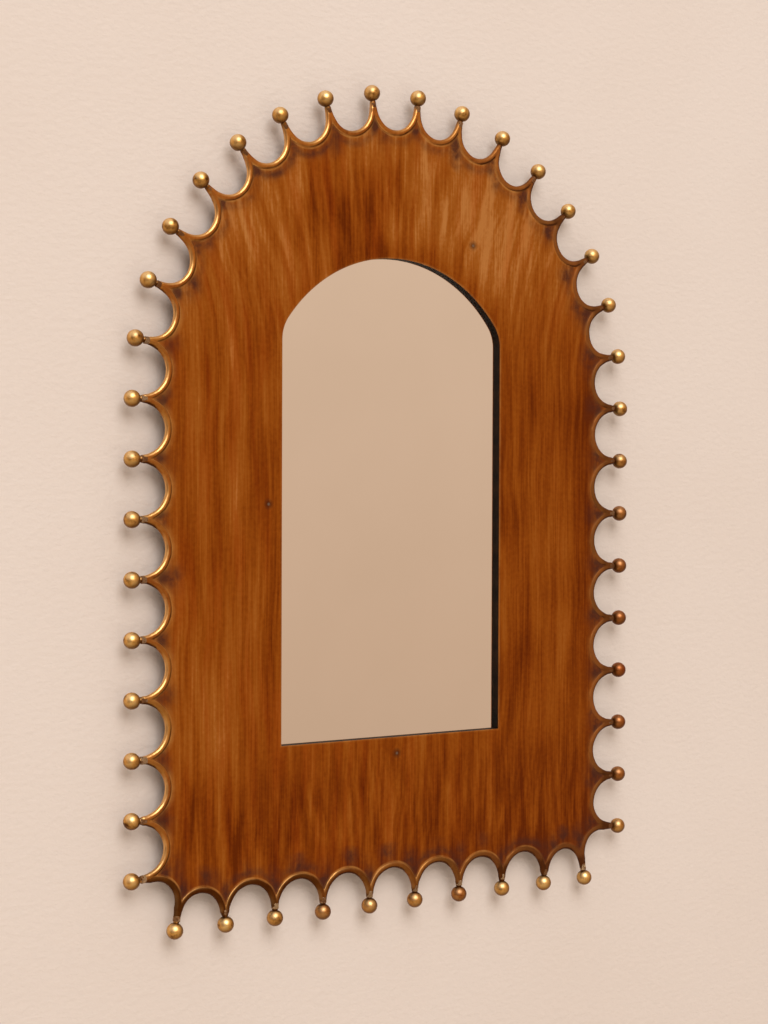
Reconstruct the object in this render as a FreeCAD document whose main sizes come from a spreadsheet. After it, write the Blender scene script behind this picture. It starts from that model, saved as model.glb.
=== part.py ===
import FreeCAD, Part
import Sketcher
import math
import os

os.makedirs("parts", exist_ok=True)

V = FreeCAD.Vector
UP = V(0, 0, 1)
ROOMWARD = V(0, -1, 0)
FULL_TURN = 2 * math.pi

# Driving dimensions in millimetres. Heights run up from the middle of the lower wall pad,
# depths run from the wall, y = 0, towards the room, which is -Y.
DIMENSIONS = {
    # Line of the ball centres: a half circle on two columns, closed by a straight foot row
    "arch_radius": 290.0,
    "arch_height": 372.0,
    "column_drop": 80.0,
    "corner_drop": 50.3,
    "corner_setback": 45.2,
    "column_balls": 10,
    "arch_balls": 14,
    "foot_balls": 10,
    # Scallops of the edge, their rods and the necks between them
    "scallop_inset": 11.6,
    "corner_inset": 2.8,
    "rod_diameter": 5.5,
    "rod_overlap": 2.2,
    "rod_setback": 1.4,
    "rod_play": 0.05,
    # Balls and the pins that carry them
    "ball_diameter": 16.0,
    "seat_diameter": 5.8,
    "tenon_diameter": 3.6,
    "tenon_length": 4.5,
    "tenon_play": 0.1,
    # Arched opening: half width and foot, its head's centre below the outer arch's and
    # its head's radius over the half width
    "opening_half": 130.0,
    "opening_foot": 33.0,
    "head_drop": 23.4,
    "head_swell": 23.4,
    # Layers from the wall to the room; the pads are deeper than the hanger eyes
    "eye_room": 0.25,
    "board_thickness": 3.0,
    "glass_thickness": 4.0,
    "liner_depth": 5.3,
    "sheet_thickness": 1.2,
    # Outlines behind the sheet, each measured outwards from the opening
    "liner_thickness": 1.0,
    "liner_play": 0.3,
    "glass_margin": 8.0,
    "glass_play": 1.0,
    "spacer_width": 60.0,
    "board_inset": 3.0,
    # Felt pads on the back, the upper one below the back board's top
    "pad_half_length": 80.0,
    "pad_height": 20.0,
    "upper_pad_drop": 89.0,
    # Pan-head wood screws
    "screw_diameter": 3.0,
    "screw_play": 0.05,
    "screw_grip": 6.0,
    "screw_tip_room": 1.0,
    "head_diameter": 6.6,
    "head_height": 1.8,
    "crown_diameter": 4.6,
    "cross_length": 3.6,
    "cross_width": 0.8,
    "cross_depth": 1.0,
    "board_screw_edge": 12.0,
    # Hanger straps and their D-shaped rings: the eyes stand out from the opening's side and
    # above the centre of its head, and a strap's screws start just below the hanging ring
    "hanger_line": 34.0,
    "hanger_rise": 31.4,
    "strap_width": 14.0,
    "strap_thickness": 1.0,
    "strap_screw_room": 3.5,
    "strap_screw_pitch": 12.0,
    "strap_end": 8.0,
    "ring_wire": 2.4,
    "ring_play": 0.05,
    "ring_lift": 0.3,
    "ring_side_room": 1.0,
    "ring_corner": 3.0,
    "ring_arm": 2.0,
}

# Places of the board screws, as shares of the sides' height, of the arch's half angle
# and of the foot's half width
SIDE_SCREW_SHARES = (0.08, 0.40, 0.72)
ARCH_SCREW_SHARES = (0.33, 0.85)
FOOT_SCREW_SHARES = (0.60,)

doc = FreeCAD.newDocument("wall_mirror")
sheet = doc.addObject("Spreadsheet::Sheet", "sizes")
for row, (alias, number) in enumerate(DIMENSIONS.items(), start=1):
    sheet.set("A%d" % row, alias)
    sheet.set("B%d" % row, str(number))
    sheet.setAlias("B%d" % row, alias)
doc.recompute()


def size(expression):
    """Gives the number that an expression on the sheet's cells comes to."""
    return float(sheet.evalExpression(expression))


# Hanger eye: the ring's bar turns in it, lifted off the board by the strap and a little room
EYE_BORE = "(sizes.ring_wire / 2 + sizes.ring_play)"
EYE_LIFT = "(sizes.strap_thickness + sizes.ring_lift + sizes.ring_wire / 2)"
EYE_RADIUS = "(" + EYE_BORE + " + sizes.strap_thickness)"

# Depths of the layers' front faces, worked out from the wall outwards
BOARD_BACK = "(" + EYE_LIFT + " + " + EYE_RADIUS + " + sizes.eye_room)"
BOARD_FRONT = "(" + BOARD_BACK + " + sizes.board_thickness)"
GLASS_FRONT = "(" + BOARD_FRONT + " + sizes.glass_thickness)"
SHEET_BACK = "(" + GLASS_FRONT + " + sizes.liner_depth)"
SHEET_FRONT = "(" + SHEET_BACK + " + sizes.sheet_thickness)"
ROD_DEPTH = "(" + SHEET_FRONT + " - sizes.rod_setback)"
RING_DEPTH = "(" + BOARD_BACK + " - " + EYE_LIFT + ")"

# Round head of the opening, and the hangers' places beside it
HEAD_CENTRE = "(sizes.arch_height - sizes.head_drop)"
HEAD_RADIUS = "(sizes.opening_half + sizes.head_swell)"
HANGER_HALF = "(sizes.opening_half + sizes.hanger_line)"
HANGER_HEIGHT = "(" + HEAD_CENTRE + " + sizes.hanger_rise)"

# Height of the back board's top
BOARD_TOP = "(" + HEAD_CENTRE + " + " + HEAD_RADIUS + " + sizes.spacer_width - sizes.board_inset)"

# A strap's screws below its eye: the first clears the hanging ring
RING_HALF = "(sizes.strap_width / 2 + sizes.ring_side_room + sizes.ring_corner)"
RING_REACH = "(sizes.ring_corner + sizes.ring_arm + " + RING_HALF + " + sizes.ring_wire / 2)"
SCREW_NEAR = "(" + RING_REACH + " + sizes.head_diameter / 2 + sizes.strap_screw_room)"
SCREW_FAR = "(" + SCREW_NEAR + " + sizes.strap_screw_pitch)"
STRAP_LENGTH = "(" + SCREW_FAR + " + sizes.strap_end)"


def new_body(label):
    body = doc.addObject("PartDesign::Body", label)
    body.Label = label
    return body


def new_sketch(body, name, depth):
    """Adds a sketch parallel to the wall: its x is X, its y is Z, at a depth from the wall."""
    plane = next(f for f in body.Origin.OriginFeatures if f.Role == "XZ_Plane")
    sketch = body.newObject("Sketcher::SketchObject", name)
    sketch.AttachmentSupport = [(plane, "")]
    sketch.MapMode = "FlatFace"
    sketch.setExpression("AttachmentOffset.Base.z", depth)
    return sketch


def bind(sketch, constraint, expression):
    """Adds a constraint whose value follows an expression on the sheet."""
    place = sketch.addConstraint(constraint)
    sketch.setExpression("Constraints[%d]" % place, expression)


def add_pad(body, sketch, length):
    pad = body.newObject("PartDesign::Pad", sketch.Name + "_pad")
    pad.Profile = sketch
    pad.setExpression("Length", length)
    sketch.Visibility = False
    return pad


def add_pocket(body, sketch, length):
    """Cuts a sketch's area from its depth back towards the wall."""
    pocket = body.newObject("PartDesign::Pocket", sketch.Name + "_pocket")
    pocket.Profile = sketch
    pocket.setExpression("Length", length)
    sketch.Visibility = False
    return pocket


def arched_outline(sketch, grow):
    """Draws the opening's outline, a foot, two sides and a round head, grown outwards."""
    half = "(sizes.opening_half + %s)" % grow
    radius = "(" + HEAD_RADIUS + " + %s)" % grow
    foot_to_centre = "(" + HEAD_CENTRE + " - sizes.opening_foot + %s)" % grow
    half_size = size(half)
    radius_size = size(radius)
    centre = V(0, size(HEAD_CENTRE), 0)
    foot = centre.y - size(foot_to_centre)
    spring = centre.y + math.sqrt(radius_size ** 2 - half_size ** 2)
    angle = math.acos(half_size / radius_size)
    first = sketch.GeometryCount
    base, right, head, left = range(first, first + 4)
    sketch.addGeometry(Part.LineSegment(V(-half_size, foot, 0), V(half_size, foot, 0)), False)
    sketch.addGeometry(Part.LineSegment(V(half_size, foot, 0), V(half_size, spring, 0)), False)
    circle = Part.Circle(centre, UP, radius_size)
    sketch.addGeometry(Part.ArcOfCircle(circle, angle, math.pi - angle), False)
    sketch.addGeometry(Part.LineSegment(V(-half_size, spring, 0), V(-half_size, foot, 0)), False)
    for one, one_end, two, two_end in ((base, 2, right, 1), (right, 2, head, 1),
                                       (head, 2, left, 1), (left, 2, base, 1)):
        sketch.addConstraint(Sketcher.Constraint("Coincident", one, one_end, two, two_end))
    sketch.addConstraint(Sketcher.Constraint("Vertical", right))
    sketch.addConstraint(Sketcher.Constraint("Vertical", left))
    sketch.addConstraint(Sketcher.Constraint("PointOnObject", head, 3, -2))
    sketch.addConstraint(Sketcher.Constraint("Symmetric", base, 1, base, 2, -2))
    bind(sketch, Sketcher.Constraint("DistanceX", base, 1, base, 2, 2 * half_size), "2 * " + half)
    bind(sketch, Sketcher.Constraint("DistanceY", -1, 1, head, 3, centre.y), HEAD_CENTRE)
    bind(sketch, Sketcher.Constraint("DistanceY", base, 1, head, 3, centre.y - foot), foot_to_centre)
    bind(sketch, Sketcher.Constraint("Radius", head, radius_size), radius)


def round_holes(sketch, places, radius):
    """Draws a circle of one bound radius at each place, given as x and height."""
    for x, height in places:
        circle = sketch.addGeometry(Part.Circle(V(x, height, 0), UP, size(radius)), False)
        bind(sketch, Sketcher.Constraint("Radius", circle, size(radius)), radius)


# Ball line: points at even steps up the left column, round the arch and down the right
# column, then back along the foot row from right to left, so that the loop runs clockwise
arch_radius = size("sizes.arch_radius")
arch_centre = V(0, 0, size("sizes.arch_height"))
column_foot = -size("sizes.column_drop")
foot_row = column_foot - size("sizes.corner_drop")
foot_half = arch_radius - size("sizes.corner_setback")
rod_depth = size(ROD_DEPTH)
column_balls = int(size("sizes.column_balls"))
arch_balls = int(size("sizes.arch_balls"))
foot_balls = int(size("sizes.foot_balls"))
upper_balls = column_balls + arch_balls + column_balls


def upper_point(distance):
    """Gives the point at a distance along the columns and the arch, from the left foot."""
    column = arch_centre.z - column_foot
    arch = math.pi * arch_radius
    if distance <= column:
        return V(-arch_radius, 0, column_foot + distance)
    if distance >= column + arch:
        return V(arch_radius, 0, column_foot + 2 * column + arch - distance)
    turn = math.pi - (distance - column) / arch_radius
    return arch_centre + V(math.cos(turn), 0, math.sin(turn)) * arch_radius


upper_length = 2 * (arch_centre.z - column_foot) + math.pi * arch_radius
ball_points = [upper_point(upper_length * i / (upper_balls - 1)) for i in range(upper_balls)]
ball_points += [V(foot_half - 2 * foot_half * i / (foot_balls - 1), 0, foot_row)
                for i in range(foot_balls)]
ball_count = len(ball_points)
for point in ball_points:
    point.y = -rod_depth

ball_labels = ["ball_left_%02d" % (i + 1) for i in range(column_balls)]
ball_labels += ["ball_arch_%02d" % (i + 1) for i in range(arch_balls)]
ball_labels += ["ball_right_%02d" % (column_balls - i) for i in range(column_balls)]
ball_labels += ["ball_foot_%02d" % (foot_balls - i) for i in range(foot_balls)]


def inward(step):
    """Gives the direction to the right of a step round the clockwise loop, which is inside."""
    return V(step.z, 0, -step.x)


def direction(start, end):
    step = end - start
    return step / step.Length


# Scallops: a circle sits between each ball and the next, a little inside the ball line.
# Scallop k lies between ball k and ball k + 1, and neighbours leave a neck between them.
corner_scallops = (upper_balls - 1, ball_count - 1)
scallop_centres = []
for k in range(ball_count):
    ball = ball_points[k]
    following = ball_points[(k + 1) % ball_count]
    inset = size("sizes.corner_inset") if k in corner_scallops else size("sizes.scallop_inset")
    scallop_centres.append((ball + following) / 2 + inward(direction(ball, following)) * inset)

neck_width = size("2 * sizes.rod_diameter - sizes.rod_overlap")
rod_radius = size("sizes.rod_diameter / 2")
rod_play = size("sizes.rod_play")
scallop_radii = []
for k in range(ball_count):
    here = scallop_centres[k]
    before = (here - scallop_centres[k - 1]).Length
    after = (scallop_centres[(k + 1) % ball_count] - here).Length
    scallop_radii.append((min(before, after) - neck_width) / 2)


def neck_gap(k):
    """Gives the width of the neck between scallop k and the next one."""
    following = (k + 1) % ball_count
    span = (scallop_centres[following] - scallop_centres[k]).Length
    return span - scallop_radii[k] - scallop_radii[following]


def neck_middle(k):
    toward = direction(scallop_centres[k], scallop_centres[(k + 1) % ball_count])
    return scallop_centres[k] + toward * (scallop_radii[k] + neck_gap(k) / 2)


def angle_of(step):
    return math.atan2(step.z, step.x)


# Face sheet: flat, its edge an arc beside each rod. At a neck two arcs meet in a sharp web,
# and where the rods stand further apart a straight edge joins them.
def sheet_web(k):
    """Gives where the edge leaves the arc beside scallop k and where it joins the next."""
    centre = scallop_centres[k]
    next_centre = scallop_centres[(k + 1) % ball_count]
    reach = scallop_radii[k] + 2 * rod_radius + rod_play
    next_reach = scallop_radii[(k + 1) % ball_count] + 2 * rod_radius + rod_play
    toward = direction(centre, next_centre)
    span = (next_centre - centre).Length
    if span >= reach + next_reach:
        return centre + toward * reach, next_centre - toward * next_reach
    along = (reach ** 2 - next_reach ** 2 + span ** 2) / (2 * span)
    tip = centre + toward * along + inward(toward) * math.sqrt(reach ** 2 - along ** 2)
    return tip, tip


face_sheet = new_body("face_sheet")
face_outline = new_sketch(face_sheet, "face_outline", SHEET_BACK)
sheet_webs = [sheet_web(k) for k in range(ball_count)]
for k in range(ball_count):
    centre = scallop_centres[k]
    reach = scallop_radii[k] + 2 * rod_radius + rod_play
    leave, join = sheet_webs[k]
    circle = Part.Circle(V(centre.x, centre.z, 0), UP, reach)
    start = angle_of(sheet_webs[k - 1][1] - centre)
    sweep = (angle_of(leave - centre) - start) % FULL_TURN
    face_outline.addGeometry(Part.ArcOfCircle(circle, start, start + sweep), False)
    if leave != join:
        straight = Part.LineSegment(V(leave.x, leave.z, 0), V(join.x, join.z, 0))
        face_outline.addGeometry(straight, False)
arched_outline(face_outline, "0")
add_pad(face_sheet, face_outline, "sizes.sheet_thickness")


# Rim rods: a bent rod follows each scallop and is mitred against the rod on either side
def mitre_waste(k, neighbour):
    """Gives the block beyond the mitre between scallop k and a neighbour."""
    toward = direction(scallop_centres[k], scallop_centres[neighbour])
    reach = scallop_radii[k]
    block = Part.makeBox(reach, 2 * reach, 2 * reach, V(0, -reach, -reach))
    block.rotate(V(), ROOMWARD, math.degrees(angle_of(toward)))
    block.translate(neck_middle(k if neighbour == (k + 1) % ball_count else neighbour))
    return block


def rim_rod(k):
    centre = scallop_centres[k]
    before = (k - 1) % ball_count
    after = (k + 1) % ball_count
    start = direction(centre, scallop_centres[before])
    sweep = angle_of(scallop_centres[after] - centre) - angle_of(start)
    bend = scallop_radii[k] + rod_radius
    section = Part.Wire(Part.makeCircle(rod_radius, centre + start * bend, inward(start)))
    rod = Part.Face(section).revolve(centre, ROOMWARD, math.degrees(sweep % FULL_TURN))
    return rod.cut([mitre_waste(k, before), mitre_waste(k, after)]).Solids[0]


rim_rods = doc.addObject("Part::Feature", "rim_rods")
rim_rods.Label = "rim_rods"
rim_rods.Shape = Part.makeCompound([rim_rod(k) for k in range(ball_count)])
rim_rods.Placement = FreeCAD.Placement()


# Ball pins: a neck tapers from the two rods' ends to the ball's seat, and its tenon
# goes into the ball
ball_radius = size("sizes.ball_diameter / 2")
seat_radius = size("sizes.seat_diameter / 2")
seat_rise = math.sqrt(ball_radius ** 2 - seat_radius ** 2)


def ball_pin(k):
    """Makes the pin of ball k, which stands between scallop k - 1 and scallop k."""
    before = (k - 1) % ball_count
    middle = neck_middle(before)
    across = direction(scallop_centres[before], scallop_centres[k])
    outward = direction(middle, ball_points[k])
    seat = ball_points[k] - outward * seat_rise
    foot = Part.Ellipse(middle + across * neck_gap(before) / 2, middle + ROOMWARD * rod_radius,
                        middle)
    seat_across = inward(outward)
    rim = Part.Circle(seat, outward, seat_radius)
    rim.XAxis = seat_across if seat_across.dot(across) > 0 else seat_across * -1
    neck = Part.makeLoft([Part.Wire(foot.toShape()), Part.Wire(rim.toShape())], True, True)
    tenon = Part.makeCylinder(size("sizes.tenon_diameter / 2"), size("sizes.tenon_length"),
                              seat, outward)
    return neck.fuse(tenon).removeSplitter().Solids[0]


ball_pins = doc.addObject("Part::Feature", "ball_pins")
ball_pins.Label = "ball_pins"
ball_pins.Shape = Part.makeCompound([ball_pin(k) for k in range(ball_count)])
ball_pins.Placement = FreeCAD.Placement()


# Balls: a sphere with a flat seat on its inner side and a blind bore for the tenon
def ball(k):
    label = ball_labels[k]
    solid = doc.addObject("Part::Sphere", label + "_sphere")
    solid.setExpression("Radius", "sizes.ball_diameter / 2")
    solid.setExpression("Angle2", "acos(sizes.seat_diameter / sizes.ball_diameter)")
    bore = doc.addObject("Part::Cylinder", label + "_bore")
    bore.setExpression("Radius", "sizes.tenon_diameter / 2 + sizes.tenon_play")
    bore.setExpression("Height", "sizes.tenon_length + 2 * sizes.tenon_play")
    bore.setExpression("Placement.Base.z",
                       "sqrt(sizes.ball_diameter ^ 2 - sizes.seat_diameter ^ 2) / 2"
                       " - sizes.tenon_length - sizes.tenon_play")
    drilled = doc.addObject("Part::Cut", label)
    drilled.Base = solid
    drilled.Tool = bore
    drilled.Label = label
    turn = FreeCAD.Rotation(UP, direction(ball_points[k], neck_middle((k - 1) % ball_count)))
    drilled.Placement = FreeCAD.Placement(ball_points[k], turn)
    return drilled


balls = [ball(k) for k in range(ball_count)]

# Aperture liner: black strip round the opening, between the sheet and the glass
aperture_liner = new_body("aperture_liner")
liner_outline = new_sketch(aperture_liner, "liner_outline", GLASS_FRONT)
arched_outline(liner_outline, "sizes.liner_thickness")
arched_outline(liner_outline, "0")
add_pad(aperture_liner, liner_outline, "sizes.liner_depth")

# Mirror glass: larger than the opening, so that the frame overlaps it all round
mirror_glass = new_body("mirror_glass")
glass_outline = new_sketch(mirror_glass, "glass_outline", BOARD_FRONT)
arched_outline(glass_outline, "sizes.glass_margin")
add_pad(mirror_glass, glass_outline, "sizes.glass_thickness")

# Board screw places: on a line round the opening, at shares of its sides, arch and foot
screw_line = size("sizes.spacer_width - sizes.board_screw_edge")
screw_half = size("sizes.opening_half") + screw_line
screw_arch = size(HEAD_RADIUS) + screw_line
screw_foot = size("sizes.opening_foot") - screw_line
head_centre = size(HEAD_CENTRE)
screw_side = head_centre + math.sqrt(screw_arch ** 2 - screw_half ** 2) - screw_foot
screw_fan = math.asin(screw_half / screw_arch)
board_screw_places = []
for side in (-1, 1):
    for share in SIDE_SCREW_SHARES:
        board_screw_places.append((side * screw_half, screw_foot + share * screw_side))
    for share in ARCH_SCREW_SHARES:
        fan = side * share * screw_fan
        board_screw_places.append((screw_arch * math.sin(fan),
                                   head_centre + screw_arch * math.cos(fan)))
    for share in FOOT_SCREW_SHARES:
        board_screw_places.append((side * share * screw_half, screw_foot))

hanger_half = size(HANGER_HALF)
hanger_height = size(HANGER_HEIGHT)
hanger_screw_places = [(side * hanger_half, hanger_height - size(drop))
                       for side in (-1, 1) for drop in (SCREW_NEAR, SCREW_FAR)]
screw_hole = "sizes.screw_diameter / 2 + sizes.screw_play"

# Spacer frame: wooden ring glued to the sheet, rebated from behind for the glass
spacer_frame = new_body("spacer_frame")
spacer_outline = new_sketch(spacer_frame, "spacer_outline", BOARD_FRONT)
arched_outline(spacer_outline, "sizes.spacer_width")
arched_outline(spacer_outline, "(sizes.liner_thickness + sizes.liner_play)")
add_pad(spacer_frame, spacer_outline, "sizes.glass_thickness + sizes.liner_depth")
doc.recompute()
glass_rebate = new_sketch(spacer_frame, "glass_rebate", GLASS_FRONT)
arched_outline(glass_rebate, "(sizes.glass_margin + sizes.glass_play)")
add_pocket(spacer_frame, glass_rebate, "sizes.glass_thickness")
doc.recompute()
spacer_bores = new_sketch(spacer_frame, "spacer_bores",
                          BOARD_FRONT + " + sizes.screw_grip + sizes.screw_tip_room")
round_holes(spacer_bores, board_screw_places + hanger_screw_places, screw_hole)
add_pocket(spacer_frame, spacer_bores, "sizes.screw_grip + sizes.screw_tip_room")

# Back board: closes the back and presses the glass into its rebate
back_board = new_body("back_board")
board_outline = new_sketch(back_board, "board_outline", BOARD_BACK)
arched_outline(board_outline, "(sizes.spacer_width - sizes.board_inset)")
add_pad(back_board, board_outline, "sizes.board_thickness")
doc.recompute()
board_holes = new_sketch(back_board, "board_holes", BOARD_FRONT)
round_holes(board_holes, board_screw_places + hanger_screw_places, screw_hole)
add_pocket(back_board, board_holes, "sizes.board_thickness")


# Screws: a pan head with a cross recess on a plain shank, heads towards the wall
def pan_screw(grip):
    """Makes a screw at the origin, its head's underside on y = 0 and its shank along -Y."""
    head_radius = size("sizes.head_diameter / 2")
    crown_radius = size("sizes.crown_diameter / 2")
    head_height = size("sizes.head_height")
    shank_radius = size("sizes.screw_diameter / 2")
    outline = Part.makePolygon([V(0, -grip, 0), V(shank_radius, shank_radius - grip, 0),
                                V(shank_radius, 0, 0), V(head_radius, 0, 0),
                                V(head_radius, head_height / 2, 0),
                                V(crown_radius, head_height, 0), V(0, head_height, 0),
                                V(0, -grip, 0)])
    turned = Part.Face(outline).revolve(V(), ROOMWARD, math.degrees(FULL_TURN))
    long_side = size("sizes.cross_length")
    short_side = size("sizes.cross_width")
    depth = size("sizes.cross_depth")
    recess = [Part.makeBox(wide, head_height, tall, V(-wide / 2, head_height - depth, -tall / 2))
              for wide, tall in ((long_side, short_side), (short_side, long_side))]
    return turned.cut(recess).Solids[0]


def screw_group(label, places, seat_depth, grip):
    """Makes a group of equal screws whose heads sit at a depth from the wall."""
    screw = pan_screw(grip)
    group = doc.addObject("Part::Feature", label)
    group.Label = label
    group.Shape = Part.makeCompound([screw.translated(V(x, -seat_depth, height))
                                     for x, height in places])
    group.Placement = FreeCAD.Placement()
    return group


board_screws = screw_group("board_screws", board_screw_places, size(BOARD_BACK),
                           size("sizes.board_thickness + sizes.screw_grip"))
hanger_screws = screw_group("hanger_screws", hanger_screw_places,
                            size(BOARD_BACK + " - sizes.strap_thickness"),
                            size("sizes.strap_thickness + sizes.board_thickness + sizes.screw_grip"))

# Hanger straps: a flat strip on the board whose upper end is rolled into an eye. In its
# own frame the eye's axis is the X axis, and the ring turns in it.
def hanger_strap(label, side):
    strip = doc.addObject("Part::Box", label + "_strip")
    strip.setExpression("Length", "sizes.strap_width")
    strip.setExpression("Width", "sizes.strap_thickness")
    strip.setExpression("Height", STRAP_LENGTH)
    strip.setExpression("Placement.Base.x", "-sizes.strap_width / 2")
    strip.setExpression("Placement.Base.y", "-" + EYE_LIFT)
    strip.setExpression("Placement.Base.z", "-" + STRAP_LENGTH)
    pieces = [strip]
    for name, radius in (("roll", EYE_RADIUS), ("bore", EYE_BORE)):
        tube = doc.addObject("Part::Cylinder", label + "_" + name)
        tube.setExpression("Radius", radius)
        tube.setExpression("Height", "sizes.strap_width")
        tube.Placement.Rotation = FreeCAD.Rotation(V(0, 1, 0), 90)
        tube.setExpression("Placement.Base.x", "-sizes.strap_width / 2")
        pieces.append(tube)
    strip, roll, bore = pieces
    blank = doc.addObject("Part::Fuse", label + "_blank")
    blank.Base = strip
    blank.Tool = roll
    tools = [bore]
    for name, drop in (("near", SCREW_NEAR), ("far", SCREW_FAR)):
        hole = doc.addObject("Part::Cylinder", label + "_hole_" + name)
        hole.setExpression("Radius", screw_hole)
        hole.setExpression("Height", "2 * sizes.strap_thickness")
        hole.Placement.Rotation = FreeCAD.Rotation(V(1, 0, 0), -90)
        hole.setExpression("Placement.Base.y", "-" + EYE_LIFT + " - sizes.strap_thickness / 2")
        hole.setExpression("Placement.Base.z", "-" + drop)
        tools.append(hole)
    cutters = doc.addObject("Part::MultiFuse", label + "_cutters")
    cutters.Shapes = tools
    strap = doc.addObject("Part::Cut", label)
    strap.Base = blank
    strap.Tool = cutters
    strap.Label = label
    strap.setExpression("Placement.Base.x", "%d * " % side + HANGER_HALF)
    strap.setExpression("Placement.Base.y", "-" + RING_DEPTH)
    strap.setExpression("Placement.Base.z", HANGER_HEIGHT)
    return strap


# Hanger rings: round wire bent to a D, its straight bar in the eye, hanging down
def ring_path():
    """Gives the ring's centre line in its own frame, its bar along X through the origin."""
    half = size(RING_HALF)
    corner = size("sizes.ring_corner")
    arm = corner + size("sizes.ring_arm")
    diagonal = corner * math.sqrt(0.5)
    bar = half - corner
    edges = [Part.LineSegment(V(-bar, 0, 0), V(bar, 0, 0)),
             Part.Arc(V(bar, 0, 0), V(bar + diagonal, 0, diagonal - corner), V(half, 0, -corner)),
             Part.LineSegment(V(half, 0, -corner), V(half, 0, -arm)),
             Part.Arc(V(half, 0, -arm), V(0, 0, -arm - half), V(-half, 0, -arm)),
             Part.LineSegment(V(-half, 0, -arm), V(-half, 0, -corner)),
             Part.Arc(V(-half, 0, -corner), V(-bar - diagonal, 0, diagonal - corner), V(-bar, 0, 0))]
    return Part.Wire([edge.toShape() for edge in edges])


def hanger_ring(label, side):
    section = Part.Wire(Part.makeCircle(size("sizes.ring_wire / 2"), V(), V(1, 0, 0)))
    path = ring_path()
    section.translate(path.Vertexes[0].Point)
    ring = doc.addObject("Part::Feature", label)
    ring.Label = label
    ring.Shape = path.makePipeShell([section], True, True)
    place = V(side * hanger_half, -size(RING_DEPTH), hanger_height)
    ring.Placement = FreeCAD.Placement(place, FreeCAD.Rotation())
    return ring


hanger_straps = [hanger_strap("hanger_strap_left", -1), hanger_strap("hanger_strap_right", 1)]
hanger_rings = [hanger_ring("hanger_ring_left", -1), hanger_ring("hanger_ring_right", 1)]

# Wall pads: two felt strips between the back board and the wall
pads = []
for name, rise in (("lower", "0"), ("upper", BOARD_TOP + " - sizes.upper_pad_drop")):
    pad = doc.addObject("Part::Box", "wall_pad_" + name)
    pad.Label = "wall_pad_" + name
    pad.setExpression("Length", "2 * sizes.pad_half_length")
    pad.setExpression("Width", BOARD_BACK)
    pad.setExpression("Height", "sizes.pad_height")
    pad.setExpression("Placement.Base.x", "-sizes.pad_half_length")
    pad.setExpression("Placement.Base.y", "-" + BOARD_BACK)
    pad.setExpression("Placement.Base.z", rise + " - sizes.pad_height / 2")
    pads.append(pad)

doc.recompute()

nodes = [face_sheet, rim_rods, ball_pins, *balls, aperture_liner, mirror_glass, spacer_frame,
         back_board, board_screws, *hanger_straps, *hanger_rings, hanger_screws, *pads]
for item in doc.Objects:
    if "Invalid" in item.State or "Error" in item.State:
        raise RuntimeError("failed object: " + item.Label)
for node in nodes:
    if node.Shape.isNull() or not node.Shape.isValid() or not node.Shape.Solids:
        raise RuntimeError("bad shape: " + node.Label)
for node in nodes:
    node.Shape.exportStep("parts/%s.step" % node.Label)
    print(node.Label, len(node.Shape.Solids), round(node.Shape.Volume, 1))
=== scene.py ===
import bmesh
import bpy
import math
import random
from mathutils import Matrix, Vector


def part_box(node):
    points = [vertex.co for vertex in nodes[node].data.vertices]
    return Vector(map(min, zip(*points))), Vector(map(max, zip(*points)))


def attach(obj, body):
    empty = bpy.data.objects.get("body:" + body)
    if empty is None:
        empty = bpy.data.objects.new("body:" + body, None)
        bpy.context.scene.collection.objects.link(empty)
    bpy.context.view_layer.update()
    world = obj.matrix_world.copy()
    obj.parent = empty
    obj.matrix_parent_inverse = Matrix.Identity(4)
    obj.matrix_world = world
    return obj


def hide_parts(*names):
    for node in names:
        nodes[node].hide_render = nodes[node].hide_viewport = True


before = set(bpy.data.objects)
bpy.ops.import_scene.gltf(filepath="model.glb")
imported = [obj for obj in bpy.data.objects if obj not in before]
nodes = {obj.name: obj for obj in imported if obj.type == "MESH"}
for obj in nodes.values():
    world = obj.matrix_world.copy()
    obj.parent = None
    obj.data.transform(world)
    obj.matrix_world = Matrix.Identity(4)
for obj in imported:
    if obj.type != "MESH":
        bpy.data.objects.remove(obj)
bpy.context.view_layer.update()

# Camera: stands to the left of the mirror at about the height of its middle and looks
# across it, level but for a degree down, through a long lens.
CAMERA_PLACE = (-1.2733, -1.8355, 0.3030)
CAMERA_TURN = 0.6066
CAMERA_DIP = 0.0220
CAMERA_ROLL = 0.0037
CAMERA_LENS = 79.6

ahead = Vector((math.sin(CAMERA_TURN) * math.cos(CAMERA_DIP),
                math.cos(CAMERA_TURN) * math.cos(CAMERA_DIP), -math.sin(CAMERA_DIP)))
level_right = ahead.cross(Vector((0, 0, 1))).normalized()
level_up = level_right.cross(ahead)
right = level_right * math.cos(CAMERA_ROLL) + level_up * math.sin(CAMERA_ROLL)
up = right.cross(ahead)
bpy.ops.object.camera_add()
camera = bpy.context.object
camera.name = "camera"
camera.matrix_world = (Matrix.Translation(CAMERA_PLACE)
                       @ Matrix((right, up, -ahead)).transposed().to_4x4())
camera.data.lens = CAMERA_LENS
bpy.context.scene.camera = camera
bpy.context.scene.view_settings.view_transform = "Standard"


# Wall: plaster rolled with matt pinkish beige paint, which leaves a fine orange-peel
# texture. Seen from behind it lets the view and the light through, so that the back shows.
WALL_SIZE = 8
WALL_MIDDLE = 0.8
WALL_PAINT = "#E9DCD3"
WALL_SHADE = "#E6D8CE"
PEEL_GRAIN = 0.0050
PEEL_DEPTH = 0.0012


def linear(code):
    """Turns an sRGB hex value to a linear colour."""
    channels = [int(code[i:i + 2], 16) / 255 for i in (1, 3, 5)]
    return [c / 12.92 if c <= 0.04045 else ((c + 0.055) / 1.055) ** 2.4 for c in channels] + [1]


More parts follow.
